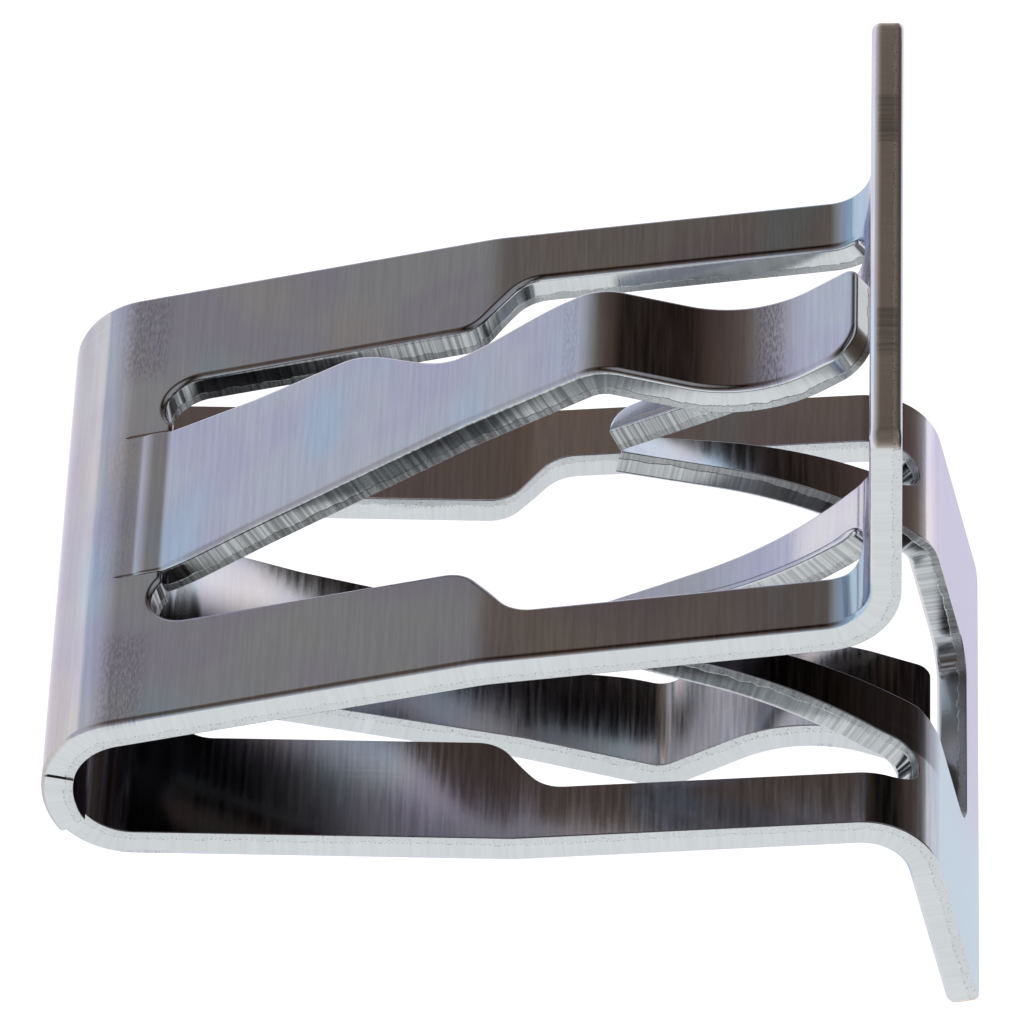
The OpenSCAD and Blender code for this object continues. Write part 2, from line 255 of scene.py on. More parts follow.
class ClipSizes(bpy.types.PropertyGroup):
    """Sizes of the folded strip."""

    thickness: length("Thickness", 0.8, "Thickness of the steel")
    width: length("Width", 15.9, "Width of the strip")
    rollover: length("Rollover", 0.15, "Radius that shearing leaves on the outer edges")
    burr: length("Inner edge", 0.03, "Radius of the inner edges")
    end_rollover: length("End rollover", 0.3, "Radius of the outer edges at the ends of the flanges")
    end_burr: length("End inner edge", 0.22, "Radius of the inner edges at the ends of the flanges")
    nose_radius: length("Nose radius", 1.45, "Inside radius of the fold")
    leg_angle: angle("Leg angle", 7.1, "Angle at which a leg leaves the nose")
    leg_front: length("Leg front", 9.2, "Straight part from the nose to the kink")
    kink_bend: angle("Kink", 5.18, "Bend of the leg at its kink")
    kink_radius: length("Kink radius", 4.0, "Inside radius of the kink")
    leg_rear: length("Leg rear", 8.3, "Straight part from the kink to the flange")
    flange_bend: angle("Flange bend", 81.97, "Bend of the leg into its flange")
    flange_radius: length("Flange radius", 1.2, "Inside radius of that bend")
    flange_height: length("Flange height", 4.9, "Flat height of the flange")
    flange_bar: length("Flange bar", 1.65, "Height of the bar beyond the opening")
    flange_corner: length("Flange corner", 0.45, "Radius of the free corners")
    opening_width: length("Opening width", 6.65, "Width of the opening in the flange")
    opening_corner: length("Opening corner", 0.9, "Radius in the opening's corners")
    rail_front: length("Front rail", 3.45, "Width of the rails beside the window's front")
    rail_rear: length("Rear rail", 1.8, "Width of the rails beside the window's rear")
    window_setback: length("Window setback", 0.85, "Distance from the leg's start to the window")
    step_radius: length("Step radius", 1.0, "Radius of the arcs in the window's step")
    tongue_root: length("Tongue root", 5.2, "Width of the tongue at its root")
    tongue_near: length("Tongue near side", 2.4, "Half width of the tongue behind its root, near side")
    tongue_near_tip: length("Tongue tip near side", 1.95, "Half width at the crest and the tip, near side")
    tongue_far: length("Tongue far side", 2.47, "Half width of the tongue behind its root, far side")
    tongue_waist: length("Tongue waist", 0.72, "Half width at the waist, far side")
    tongue_far_tip: length("Tongue tip far side", 1.12, "Half width at the crest and the tip, far side")
    step_start: length("Tongue step start", 8.9, "Distance from the nose's apex to the far step")
    step_end: length("Tongue step end", 12.4, "Distance from the nose's apex to the waist")
    step_tip: length("Tongue step tip", 15.5, "Distance from the nose's apex to the full width of the tip")
    tongue_gap: length("Tongue gap", 0.7, "Gap between the tip and the front of the flange")
    tip_near: length("Near tip corner", 0.9, "Radius of the tip's near corner")
    tip_far: length("Far tip corner", 0.35, "Radius of the tip's far corner")
    tongue_slit: length("Tongue slit", 0.012, "Half of the shear gap beside the tongue's root")
    root_lead: length("Root lead", 0.3, "Flat part ahead of the root's ridge")
    root_bend: angle("Root bend", 14.0, "Bend up to the ridge that the press leaves at the root")
    root_radius: length("Root bend radius", 0.8, "Radius of that bend at the middle of the sheet")
    groove_bend: angle("Groove bend", 15.5, "Bend over the ridge")
    groove_radius: length("Groove bend radius", 0.6, "Radius of that bend")
    groove_length: length("Groove length", 0.34, "Straight part behind the ridge")
    rise_bend: angle("Rise bend", 17.69, "Bend into the upper tongue's rise")
    low_rise_bend: angle("Lower rise bend", 16.3, "Bend into the lower tongue's rise")
    rise_radius: length("Rise bend radius", 0.7, "Radius of that bend")
    crest_bend: angle("Crest bend", 44.24, "Bend over the crest")
    crest_radius: length("Crest bend radius", 1.11, "Radius of that bend")
    fall_length: length("Fall length", 1.64, "Straight part behind the crest")
    dip_bend: angle("Dip bend", 49.24, "Bend up into the tip")
    dip_radius: length("Dip bend radius", 4.04, "Radius of that bend")
    tip_length: length("Tip length", 1.38, "Straight part at the tip")
    barb_spread: length("Barb spread", 6.4, "Clear distance between two barbs")
    barb_root: length("Barb root", 1.55, "Width of a barb at its root")
    barb_slim: length("Barb width", 0.75, "Width of a barb where its tip's arc starts")
    barb_leave: angle("Barb angle", 37.63, "Part of the flange's bend at which a barb leaves it")
    barb_straight: length("Barb straight", 0.4, "Straight part next to the root")
    barb_bend: angle("Barb bend", 21.77, "Bend along a barb")
    barb_curve: length("Barb curve", 12.3, "Radius of that bend")
    barb_gap: length("Barb gap", 0.03, "Gap between the tips of opposite barbs")
    slot_leave: angle("Slot angle", 24.15, "Part of the flange's bend at which a slot's round end starts")
    stub_height: length("Stub height", 0.2, "Height of the nose's sheared stub at its lower end")
    stub_low: length("Stub start", 0.05, "Height of the stub at its upper end")
    stub_up: length("Stub upper end", 0.6, "Distance from the nose's apex to the stub's upper end")
    stub_down: length("Stub lower end", 0.95, "Distance from the nose's apex to the stub's lower end")


class ClipFinish(bpy.types.PropertyGroup):
    """Colours of the zinc plate."""

    plate: colour("Plate", (0.60, 0.61, 0.63), "Bright zinc")
    plate_lilac: colour("Lilac tint", (0.57, 0.55, 0.64), "Plate where it looks lilac")
    plate_straw: colour("Straw tint", (0.64, 0.61, 0.60), "Plate where it looks warm")
    plate_blue: colour("Blue tint", (0.53, 0.62, 0.70), "Plate where it looks blue")
    flange_lilac: colour("Flange lilac", (0.40, 0.37, 0.55), "Inner face of a flange, lilac part")
    # this blue is also the painted shade on the outer face of the bends near the strip's edges
    flange_blue: colour("Flange blue", (0.36, 0.475, 0.58), "Inner face of a flange, blue part")
    cut: colour("Cut walls", (0.53, 0.56, 0.57), "Walls that the shears leave")
    end_cut: colour("Flange ends", (0.74, 0.65, 0.55), "End walls of the flanges")
    edge: colour("Grazing tint", (0.80, 0.76, 0.84), "Tint of reflections at a grazing angle")
    scratch: colour("Scratches", (0.72, 0.72, 0.74), "Bare lines scratched along the strip")
    # one dark colour for the rub marks and for the painted shade on the tongue's crest and dip
    rubbed_and_shaded: colour("Rubbed marks", (0.26, 0.24, 0.33), "Places that the press has rubbed")
    pits: colour("Pits", (0.08, 0.07, 0.065), "Pits in the torn part of a cut wall")


def folded_line(steps, start, heading):
    """Line of straight parts and round bends, as a function of the distance along it.

    A step is a straight length, the turn after it and the radius of that turn. On a bend the
    direction grows evenly with distance, so a stretch of length d that starts in direction a
    has its end at d * sin(h) / h along a + h, where h is half the turn made on the stretch.
    """
    run = np.array([[straight, abs(turn) * radius] for straight, turn, radius in steps]).ravel()
    turn = np.array([[0.0, turn] for _, turn, _ in steps]).ravel()
    run, turn = run[run > 0], turn[run > 0]
    at = np.append(0.0, np.cumsum(run))
    facing = heading + np.append(0.0, np.cumsum(turn))
    bow = turn / run

    def chord(part, d):
        h = bow[part] * d / 2
        way = facing[part] + h
        return (d * np.sinc(h / np.pi))[..., None] * np.stack([np.cos(way), np.sin(way)], -1)

    moves = chord(np.arange(len(run)), run)
    joints = np.asarray(start) + np.vstack([np.zeros(2), np.cumsum(moves, 0)])

    def place(s):
        part = np.clip(np.searchsorted(at, s, side="right") - 1, 0, len(run) - 1)
        d = s - at[part]
        return joints[part] + chord(part, d), facing[part] + bow[part] * d

    place.length = at[-1]
    return place


def heading(a):
    """Unit vector in the side view."""
    return np.array([math.cos(a), math.sin(a)])


def tongue_steps(z, rise_bend, rise):
    """Steps of a tongue's line, for a given bend into its rise and straight part of the rise."""
    return [
        (z.root_lead, z.root_bend, z.root_radius),
        (0, -z.groove_bend, z.groove_radius),
        (z.groove_length, rise_bend, z.rise_radius),
        (rise, -z.crest_bend, z.crest_radius),
        (z.fall_length, z.dip_bend, z.dip_radius),
        (z.tip_length, 0, 0),
    ]


def clip_fold(z):
    """Folded lines of the leg, the tongues and the barb, with the stations along them.

    The leg's line starts at the nose's apex and runs on the middle of the sheet. A tongue
    leaves it where the leg starts, and the barb leaves it part way round the flange's bend.
    A tongue's rise takes up what its other parts leave of the way to the flange, and a barb
    ends where its inner corner comes near the middle plane. The tilt lays the clip on its nose
    and on the end of its lower flange, and the shift centres it over the origin.
    """
    mid = z.thickness / 2
    nose_x = z.nose_radius + z.thickness
    nose_mid = z.nose_radius + mid
    kink_mid = z.kink_radius + mid
    bend_mid = z.flange_radius + mid
    f = SimpleNamespace(mid=mid, half=z.width / 2)
    nose_turn = math.pi / 2 - z.leg_angle
    leg_steps = [
        (0, -nose_turn, nose_mid),
        (z.leg_front, -z.kink_bend, kink_mid),
        (z.leg_rear, z.flange_bend, bend_mid),
        (z.flange_height, 0, 0),
    ]
    f.leg = folded_line(leg_steps, (mid, 0), math.pi / 2)
    f.s_leg = nose_turn * nose_mid
    f.s_kink = f.s_leg + z.leg_front
    f.s_bend = f.s_kink + z.kink_bend * kink_mid + z.leg_rear
    f.s_slot = f.s_bend + z.slot_leave * bend_mid
    f.s_leave = f.s_bend + z.barb_leave * bend_mid
    f.s_flange = f.s_bend + z.flange_bend * bend_mid
    f.s_end = f.s_flange + z.flange_height
    f.front = f.half - z.rail_front
    f.rear = f.half - z.rail_rear
    f.slot_radius = (f.front - z.tongue_root / 2) / 2
    (start,), _ = f.leg(np.array([f.s_leg]))
    (bend_end,), _ = f.leg(np.array([f.s_flange]))

    def tongue(bend):
        bare = folded_line(tongue_steps(z, bend, 0), start, z.leg_angle)
        (tip,), _ = bare(np.array([bare.length]))
        short = bend_end[0] + mid - z.tongue_gap - tip[0]
        slope = z.leg_angle + z.root_bend - z.groove_bend + bend
        return folded_line(tongue_steps(z, bend, short / math.cos(slope)), start, z.leg_angle)

    f.tongue = tongue(z.rise_bend)
    f.low_tongue = tongue(z.low_rise_bend)

    (root,), (slope,) = f.leg(np.array([f.s_leave]))
    curve = (z.barb_straight, -z.barb_bend, z.barb_curve)
    bow = folded_line([curve], root, slope + math.pi)
    (bow_end,), _ = bow(np.array([bow.length]))
    tip_slope = slope - z.barb_bend
    reach = (bow_end[1] - mid * math.cos(tip_slope) - z.barb_gap / 2) / math.sin(tip_slope)
    f.barb = folded_line([curve, (reach, 0, 0)], root, slope + math.pi)

    (end,), (rise,) = f.leg(np.array([f.s_end]))
    back = end + mid * heading(rise + math.pi / 2)
    front = end - mid * heading(rise + math.pi / 2)
    arm = back - np.array([nose_x, 0])
    f.tilt = math.atan2(arm[1], arm[0]) - math.asin(nose_x / np.hypot(*arm))
    low = nose_x * math.cos(f.tilt) - nose_x
    high = front @ heading(f.tilt)
    f.shift = np.array([-(low + high) / 2, 0, nose_x - nose_x * math.sin(f.tilt)])
    return f


def tongue_half(z, f, s, side):
    """Half of the tongue's width at distance s, on its far side (1) or near side (-1).

    The near edge narrows evenly. The far edge steps in to a waist along a cubic ease, and widens
    from there to the tip.
    """
    slot = f.s_leg + z.window_setback + f.slot_radius
    root = z.tongue_root / 2
    clear = slot + 2 * f.slot_radius
    if side < 0:
        return np.interp(s, [slot, clear, z.step_end], [root, z.tongue_near, z.tongue_near_tip])
    wide = np.interp(s, [slot, clear], [root, z.tongue_far])
    t = np.clip((s - z.step_start) / (z.step_end - z.step_start), 0, 1)
    waist = wide + (z.tongue_waist - wide) * t**2 * (3 - 2 * t)
    u = np.clip((s - z.step_end) / (z.step_tip - z.step_end), 0, 1)
    return waist + (z.tongue_far_tip - z.tongue_waist) * u**2 * (3 - 2 * u)


def edge(s, y):
    """Edge of a grid in the flat pattern: distances s from the nose's apex, places y across."""
    return np.stack(np.broadcast_arrays(s, y), -1)


def grid(inner, outer, shares):
    """Grid between two edges: each of its rows is a set share of the way between them."""
    return inner[:, None] + (outer - inner)[:, None] * shares[None, :, None]


def joined(*parts):
    """Arrays joined end to end, where each starts with the last value of the one before it."""
    return np.concatenate([parts[0]] + [p[1:] for p in parts[1:]])


def front_grids(z, f, d):
    """Nose, stub and the land beside the tongue's root, as far as the window's round end."""
    half = f.half - d
    root = z.tongue_root / 2
    r = f.slot_radius
    y_slot = root + r
    s_slot = f.s_leg + z.window_setback / math.cos(z.leg_angle) + r
    up, down = z.stub_up, z.stub_down
    s_up = np.linspace(0, up - d, N_STUB_UPPER)
    s_down = joined(s_up, np.array([up - d, up]), np.linspace(up, down - d, N_STUB_LOWER))
    s = joined(s_down, np.array([down - d, down]), np.linspace(down, f.s_leg - d, N_NOSE))
    leg = [
        grid(edge(s, 0.0), edge(s, root), ROWS_TONGUE),
        grid(edge(s, root), edge(s, y_slot), ROWS_LAND),
        grid(edge(s, y_slot), edge(s, half), ROWS_RAIL),
    ]
    stub = []
    for s in (s_up, -s_down):
        high = np.interp(s, [-down, up], [z.stub_height, z.stub_low])
        stub.append(grid(edge(s, half), edge(s, half + high), ROWS_LAND))

    slit = z.tongue_slit + SLIT_SHARE * d
    s = np.linspace(f.s_leg - d, s_slot - r - d, N_SLIT)
    opened = np.where(np.arange(len(s)) > 0, slit, 0)
    leg.append(grid(edge(s, root + opened), edge(s, y_slot), ROWS_LAND))
    leg.append(grid(edge(s, y_slot), edge(s, half), ROWS_RAIL))
    a = np.linspace(0, SLOT_TURN, N_SLOT_INNER)
    s = s_slot - (r + d) * np.cos(a)
    leg.append(grid(edge(s, root + slit), edge(s, y_slot - (r + d) * np.sin(a)), ROWS_LAND))
    a = np.linspace(0, QUARTER, N_SLOT_OUTER)
    s = s_slot - (r + d) * np.cos(a)
    leg.append(grid(edge(s, y_slot + (r + d) * np.sin(a)), edge(s, half), ROWS_RAIL))
    return leg, stub, s_slot


def rail_grid(z, f, d, s_slot):
    """Rail beside the window, whose edge steps outward in an S of two arcs and a slope."""
    radius = z.step_radius
    straight = f.rear - f.front - 2 * (1 - STEP_COSINE) * radius
    x1 = f.s_kink - STEP_SINE * radius
    x2 = x1 + 2 * STEP_SINE * radius + straight * STEP_COSINE / STEP_SINE
    a = np.linspace(0, math.asin(STEP_SINE), N_STEP_ARC)
    first = edge(x1 + (radius - d) * np.sin(a), f.front + radius - (radius - d) * np.cos(a))
    second = edge(x2 - (radius + d) * np.sin(a), f.rear - radius + (radius + d) * np.cos(a))[::-1]
    slope = first[-1] + (second[0] - first[-1]) * np.linspace(0, 1, N_STEP_SLOPE)[:, None]
    inner = joined(edge(np.linspace(s_slot, x1, N_RAIL), f.front + d), first, slope, second)
    s = joined(np.linspace(x2, f.s_bend, N_RAIL), np.linspace(f.s_bend, f.s_slot, N_BEND_START))
    inner = joined(inner, edge(s, f.rear + d))
    return grid(inner, edge(inner[:, 0], f.half - d), ROWS_RAIL)


def flange_grids(z, f, d):
    """Flange's bend round the end of the slot, the flange round its opening, and its end bar."""
    half = f.half - d
    y_in = z.barb_spread / 2
    r_end = (f.rear - y_in - z.barb_root) / 2
    y_end = f.rear - r_end
    a = np.linspace(0, QUARTER, N_ROUND_OUTER)
    s = f.s_slot + (r_end + d) * np.sin(a)
    leg = [grid(edge(s, y_end + (r_end + d) * np.cos(a)), edge(s, half), ROWS_RAIL)]
    a = np.linspace(math.asin((f.s_leave - f.s_slot) / (r_end + d)), QUARTER, N_ROUND_INNER)
    s = f.s_slot + (r_end + d) * np.sin(a)
    leg.append(grid(edge(s, y_in + d), edge(s, y_end - (r_end + d) * np.cos(a)), ROWS_BARB))

    y_open = z.opening_width / 2
    corner = z.opening_corner
    s_top = f.s_end - z.flange_bar
    s = np.linspace(f.s_slot + r_end + d, f.s_flange - f.mid, N_NECK)
    inner = edge(s, np.linspace(y_in, y_open, N_NECK) + d)
    bend_end = np.linspace(f.s_flange - f.mid, f.s_flange, N_BEND_END)
    s = joined(bend_end, np.linspace(f.s_flange, s_top - corner, N_FLANGE))
    a = np.linspace(0, QUARTER, N_OPENING_ARC)
    arc = edge(s_top - corner + (corner + d) * np.sin(a), y_open - corner + (corner + d) * np.cos(a))
    inner = joined(inner, edge(s, y_open + d), arc)
    leg.append(grid(inner, edge(inner[:, 0], y_end), ROWS_BARB))
    leg.append(grid(edge(inner[:, 0], y_end), edge(inner[:, 0], half), ROWS_RAIL))

    r = z.flange_corner
    a = np.linspace(0, QUARTER, N_CORNER_ARC)
    bar = np.linspace(s_top + d, f.s_end - r, N_BAR)
    s = joined(bar, np.linspace(f.s_end - r, f.s_end - d, N_CORNER_ARC))
    s_out = joined(bar, f.s_end - r + (r - d) * np.sin(a))
    y_out = joined(np.full(N_BAR, half), f.half - r + (r - d) * np.cos(a))
    y_bar = y_open - corner
    leg.append(grid(edge(s, 0.0), edge(s, y_bar), ROWS_TONGUE))
    leg.append(grid(edge(s, y_bar), edge(s, y_end), ROWS_BARB))
    leg.append(grid(edge(s, y_end), edge(s_out, y_out), ROWS_RAIL))
    return leg


def tongue_grid(z, f, d, side):
    """Far or near half of the tongue, with the round corner of its tip.

    Columns crowd toward the end as the sine of an evenly growing angle, so that both corners
    are round on the same columns.
    """
    end = f.s_leg + f.tongue.length
    clear = f.s_leg + z.window_setback
    deep = max(z.tip_near, z.tip_far)
    r = z.tip_far if side > 0 else z.tip_near
    last = end - deep + (deep - d) * np.sin(np.linspace(0, QUARTER, N_TONGUE_TIP))
    first = np.linspace(f.s_leg - d, clear, N_TONGUE_ROOT)
    s = joined(first, np.linspace(clear, end - deep, N_TONGUE_BODY), last)
    inset = z.tongue_slit + d * np.interp(s - clear, [0, f.slot_radius], [SLIT_SHARE, 1])
    inset[0] = 0
    turn = np.clip(s - (end - r), 0, r - d)
    corner = r - d - np.sqrt((r - d) ** 2 - turn**2)
    return grid(edge(s, 0.0), edge(s, tongue_half(z, f, s, side) - inset - corner), ROWS_TONGUE)


def barb_grid(z, f, d):
    """Barb, from its root to its tip, where an arc about the inner edge ends it.

    Its outer edge follows the slot's round end, then narrows evenly. In the last grid, half of
    the arc is the outer edge and the other half the end: each column is moved toward the end's
    curve by the square of its share of the way.
    """
    y_in = z.barb_spread / 2
    y_out = y_in + z.barb_root
    r_end = (f.rear - y_out) / 2
    past = f.s_leave - f.s_slot
    slim = z.barb_slim
    centre = f.barb.length - slim
    along = joined(np.linspace(0, past, N_BARB_ROOT), np.linspace(past, centre, N_BARB_BODY))
    round_end = y_out + r_end - np.sqrt((r_end + d) ** 2 - np.maximum(past - along, 0) ** 2)
    taper = np.interp(along, [z.thickness, centre], [y_out, y_in + slim]) - d
    body = grid(edge(along, y_in + d), edge(along, np.where(along < past, round_end, taper)), ROWS_BARB)

    r = slim - d
    a = np.linspace(QUARTER, QUARTER / 2, N_BARB_TIP)
    side = edge(centre + r * np.cos(a), y_in + r * np.sin(a))
    low = math.asin(d / r)
    b = low + (QUARTER / 2 - low) * ROWS_BARB
    last = edge(centre + r * np.cos(b), y_in + r * np.sin(b))
    base = edge(np.linspace(centre, last[0, 0], N_BARB_TIP), y_in + d)
    tip = grid(base, side, ROWS_BARB)
    tip += np.linspace(0, 1, N_BARB_TIP)[:, None, None] ** 2 * (last - tip[-1])
    whole = joined(body, tip)
    return np.stack([f.s_leave - whole[..., 0], whole[..., 1]], -1)[::-1]


def flat_pattern(z, f, d, side):
    """Flat pattern of a quarter of the strip, with every cut edge drawn in by d, as grids."""
    leg, stub, s_slot = front_grids(z, f, d)
    leg.append(rail_grid(z, f, d, s_slot))
    leg += flange_grids(z, f, d)
    return leg, tongue_grid(z, f, d, side), barb_grid(z, f, d), stub


def whole_sheet(z, f, d):
    """Whole flat pattern: points, the leaf that each lies on, and quads that turn one way.

    The grids of a quarter are mirrored to the other leg, except the stub's, and each side has a
    quarter of its own. Quads are reversed in a mirrored grid, and in one that runs backward.
    """
    points, leaves, quads = [], [], []
    count = 0
    for side in (1, -1):
        leg, tongue, barb, stub = flat_pattern(z, f, d, side)
        kinds = [(g, LEG) for g in leg] + [(tongue, TONGUE), (barb, BARB)]
        parts = [(g, leaf, sign) for g, leaf in kinds for sign in (1, -1)]
        for g, leaf, sign in parts + [(g, LEG, 1) for g in stub]:
            n, m = g.shape[:2]
            number = count + np.arange(n * m).reshape(n, m)
            cell = np.stack([number[:-1, :-1], number[1:, :-1], number[1:, 1:], number[:-1, 1:]], -1)
            forward = g[-1, 0, 0] > g[0, 0, 0]
            turn = 1 if (sign * side > 0) == forward else -1
            points.append((g * (sign, side)).reshape(-1, 2))
            leaves.append(np.full(n * m, leaf))
            quads.append(cell.reshape(-1, 4)[:, ::turn])
            count += n * m
    return np.concatenate(points), np.concatenate(leaves), np.concatenate(quads)


def folded(f, flat, leaf, t):
    """Places, normals and along-strip directions of flat points at height t above mid-sheet.

    A point at distance s is placed on the folded line of its leaf and moved by t along the
    line's left-hand normal. The lower leg is the mirror image of the upper one, apart from its
    tongue's rise.
    """
    s = np.abs(flat[:, 0])
    sign = np.where(flat[:, 0] < 0, -1.0, 1.0)
    p, a = f.leg(s)
    p_tongue, a_tongue = f.tongue(s - f.s_leg)
    p_low, a_low = f.low_tongue(s - f.s_leg)
    p_tongue = np.where(sign[:, None] < 0, p_low, p_tongue)
    a_tongue = np.where(sign < 0, a_low, a_tongue)
    p_barb, a_barb = f.barb(f.s_leave - s)
    on_tongue = (leaf == TONGUE) & (s > f.s_leg)
    on_barb = (leaf == BARB) & (s < f.s_leave)
    p = np.where(on_barb[:, None], p_barb, np.where(on_tongue[:, None], p_tongue, p))
    a = np.where(on_barb, a_barb - np.pi, np.where(on_tongue, a_tongue, a))
    zero = np.zeros_like(s)
    normal = np.stack([-np.sin(a), zero, sign * np.cos(a)], -1)
    along = np.stack([sign * np.cos(a), zero, np.sin(a)], -1)
    place = np.stack([p[:, 0], flat[:, 1], sign * p[:, 1]], -1) + t * normal
    c, n = math.cos(f.tilt), math.sin(f.tilt)
    turn = np.array([[c, 0, -n], [0, 1, 0], [n, 0, c]])
    return place @ turn.T + f.shift, normal @ turn.T, along @ turn.T


def rim_profile(z, rollover, burr):
    """Profile of a sheared edge, from the outer face to the inner one: inset, height, lean.

    The outer edge is rolled over by a quarter circle, a straight cut follows, and the inner
    edge is a small quarter circle. Lean is the angle of the surface from the outer normal.
    """
    mid = z.thickness / 2
    a = np.linspace(0, QUARTER, ROLL_POINTS)
    roll = np.stack([rollover * (1 - np.sin(a)), mid - rollover * (1 - np.cos(a)), a], -1)
    wall = np.linspace(roll[-1, 1], burr - mid, CUT_POINTS + 2)[1:-1]
    cut = np.stack([np.zeros(CUT_POINTS), wall, np.full(CUT_POINTS, QUARTER)], -1)
    b = np.linspace(0, QUARTER, BURR_POINTS)
    last = np.stack([burr * (1 - np.cos(b)), burr * (1 - np.sin(b)) - mid, QUARTER + b], -1)
    return np.vstack([roll, cut, last])


def sheet_layers(z, f):
    """Layers of the flat pattern, one for each point of the rim's profile, with leaves and quads.

    Each layer is drawn in by its point's inset, and keeps the point's height and lean. Toward a
    flange's end the profile passes evenly to a rounder one. Equal points of neighbouring grids
    are welded, and leaves and quads are the same in all layers.
    """
    rim = rim_profile(z, z.rollover, z.burr)
    end_rim = rim_profile(z, z.end_rollover, z.end_burr)
    ref, leaf, cells = whole_sheet(z, f, WELD_INSET)
    keys = np.round(ref / WELD_STEP).astype(np.int64)
    _, first, weld = np.unique(keys, axis=0, return_index=True, return_inverse=True)
    near_end = np.clip((np.abs(ref[first, :1]) - f.s_end) / z.flange_corner + 1, 0, 1)
    layers = []
    for (d, t, lean), (end_d, end_t, end_lean) in zip(rim, end_rim):
        flat = whole_sheet(z, f, d)[0][first]
        end_flat = whole_sheet(z, f, end_d)[0][first]
        layer = SimpleNamespace(flat=flat + near_end * (end_flat - flat))
        layer.high = t + near_end * (end_t - t)
        layer.lean = lean + near_end * (end_lean - lean)
        layers.append(layer)
    return layers, leaf[first], weld.reshape(-1)[cells]


def cut_edges(quads):
    """Cut edges of the sheet, which are the edges that belong to one quad alone."""
    sides = np.stack([quads, np.roll(quads, -1, 1)], -1).reshape(-1, 2)
    _, where, count = np.unique(np.sort(sides, 1), axis=0, return_index=True, return_counts=True)
    return sides[where[count == 1]]


def outward(bare, a, b):
    """Outward directions in the flat pattern, at the starts a and the ends b of cut edges.

    An edge's own outward direction is its way, turned to the right. At each end it is smoothed
    with that of the next edge, except at sharp corners.
    """
    way = bare[b] - bare[a]
    way /= np.linalg.norm(way, axis=1, keepdims=True)
    out = np.stack([way[:, 1], -way[:, 0]], -1)
    soft = np.zeros_like(bare)
    np.add.at(soft, a, out)
    np.add.at(soft, b, out)
    soft /= np.maximum(np.linalg.norm(soft, axis=1, keepdims=True), TINY)
    return [np.where(((soft[i] * out).sum(1) > SHARP)[:, None], soft[i], out) for i in (a, b)]


def clip_mesh(z):
    """Mesh of the whole clip: two faces of the folded sheet, joined by its sheared rim.

    The first and the last layer of the flat pattern are folded whole, as the sheet's faces. The
    layers between them keep only the points on cut edges, and quads join each layer's cut edges
    to the next layer's. The rim's normal leans from the sheet's normal to the cut edge's own:
    sin(lean) times the outward direction, plus cos(lean) times the normal.
    """
    f = clip_fold(z)
    layers, leaf, quads = sheet_layers(z, f)
    ring, ends = np.unique(cut_edges(quads), return_inverse=True)
    a, b = ends.reshape(-1, 2).T
    out_a, out_b = outward(layers[ROLL_POINTS - 1].flat[ring], a, b)
    across = np.array([0.0, 1.0, 0.0])

    places, flats, high, tilt, facing, numbers, shades = [], [], [], [], [], [], []
    count = 0
    for layer in layers:
        whole = layer is layers[0] or layer is layers[-1]
        kept = np.arange(len(leaf)) if whole else ring
        at = ring if whole else np.arange(len(ring))
        place, normal, along = folded(f, layer.flat[kept], leaf[kept], layer.high[kept])
        lie, rise = np.sin(layer.lean[ring]), np.cos(layer.lean[ring])
        for i, out in ((a, out_a), (b, out_b)):
            side = out[:, :1] * along[at][i] + out[:, 1:] * across
            shades.append(lie[i] * side + rise[i] * normal[at][i])
        places.append(place)
        flats.append(layer.flat[kept])
        high.append(layer.high[kept])
        tilt.append(layer.lean[kept])
        facing.append(normal)
        numbers.append(count + at)
        count += len(kept)

    base = count - len(leaf)
    faces = [quads, base + quads[:, ::-1]]
    normals = [facing[0][quads], -facing[-1][quads[:, ::-1]]]
    for i, (upper, lower) in enumerate(zip(numbers, numbers[1:])):
        upper_a, upper_b, lower_a, lower_b = shades[2 * i : 2 * i + 4]
        faces.append(np.stack([upper[b], upper[a], lower[a], lower[b]], -1))
        normals.append(np.stack([upper_b, upper_a, lower_a, lower_b], 1))
    return SimpleNamespace(
        places=np.vstack(places),
        flats=np.vstack(flats),
        depth=0.5 - np.vstack(high).ravel() / z.thickness,
        rim=np.sin(np.vstack(tilt)).ravel(),
        faces=np.vstack(faces),
        normals=np.vstack(normals).reshape(-1, 3),
    )


def add_mesh(name, m):
    """Object from arrays: corners, quads, normals, the flat pattern as a UV map, and two values."""
    mesh = bpy.data.meshes.new(name)
    mesh.from_pydata(m.places, [], m.faces)
    mesh.polygons.foreach_set("use_smooth", np.ones(len(mesh.polygons), bool))
    corner = np.empty(len(mesh.loops), np.int32)
    mesh.loops.foreach_get("vertex_index", corner)
    flat = mesh.uv_layers.new(name="sheet")
    flat.uv.foreach_set("vector", (m.flats[corner] / UV_SPAN).astype(np.float32).ravel())
    for label, value in (("depth", m.depth), ("rim", m.rim)):
        mesh.attributes.new(label, "FLOAT", "POINT").data.foreach_set("value", value.astype(np.float32))
    mesh.normals_split_custom_set(m.normals / np.linalg.norm(m.normals, axis=1, keepdims=True))
    mesh.update()
    piece = bpy.data.objects.new(name, mesh)
    bpy.context.collection.objects.link(piece)
    return piece


